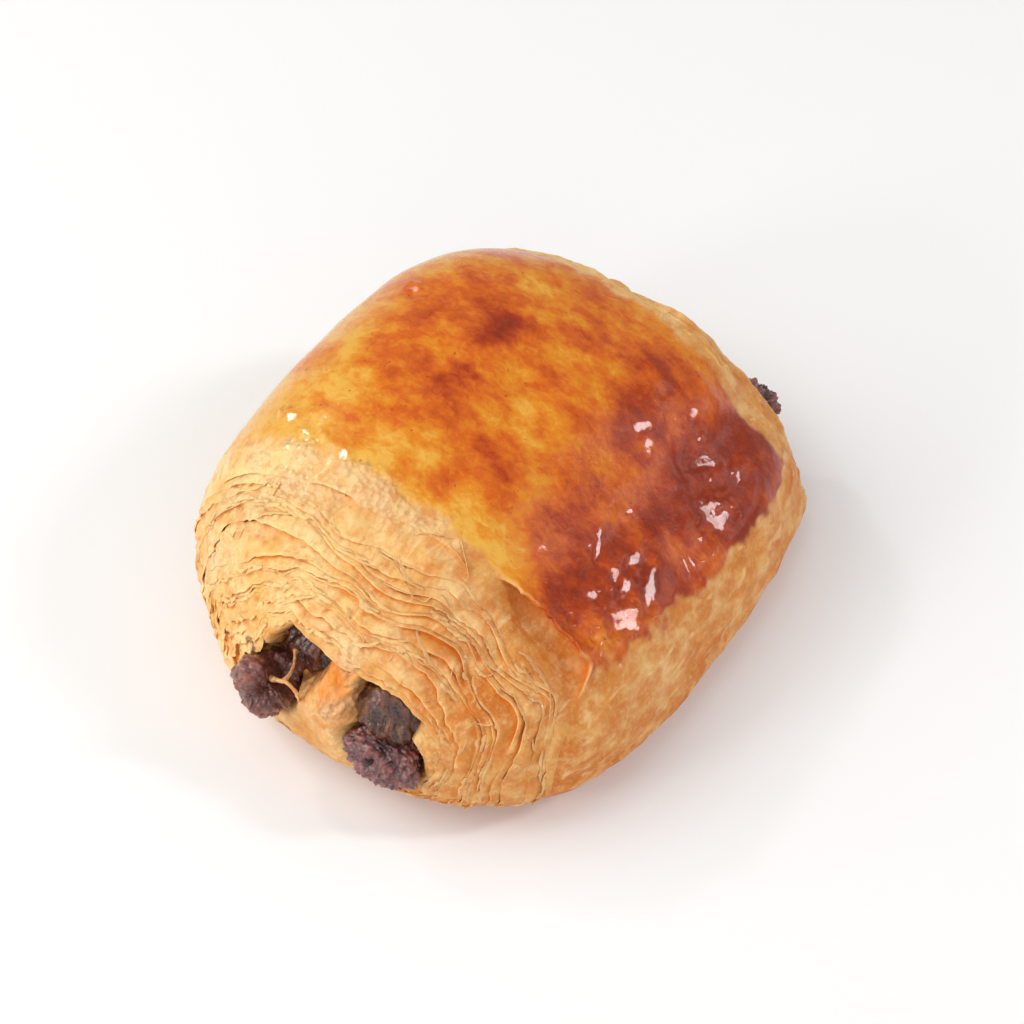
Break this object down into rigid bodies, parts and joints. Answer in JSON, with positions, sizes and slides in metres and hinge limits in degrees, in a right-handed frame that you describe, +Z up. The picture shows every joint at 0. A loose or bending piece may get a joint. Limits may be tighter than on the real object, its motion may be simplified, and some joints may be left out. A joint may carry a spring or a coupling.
{
  "type": "chocolate-filled laminated pastry roll",
  "caption": "Baked roll of laminated pastry with a glazed top, layered cut ends and chocolate sticks running through it along the roll.",
  "frame": {"origin": "middle of the bounding box at the height of the tray", "axes": "+Z up, Y along the roll with the cut end whose chocolate lumps show in full at -Y, +X towards the low, gently sloping side of the roll"},
  "size_m": [0.0926, 0.1202, 0.0493],
  "materials": {
    "pastry": "baked laminated dough, glossy golden to red-brown glaze on top",
    "chocolate": "dark baked chocolate, grainy with small wet glints"
  },
  "bodies": {
    "root": {"pastry": "pastry", "choc_left": "chocolate", "choc_right": "chocolate"}
  },
  "joints": []
}
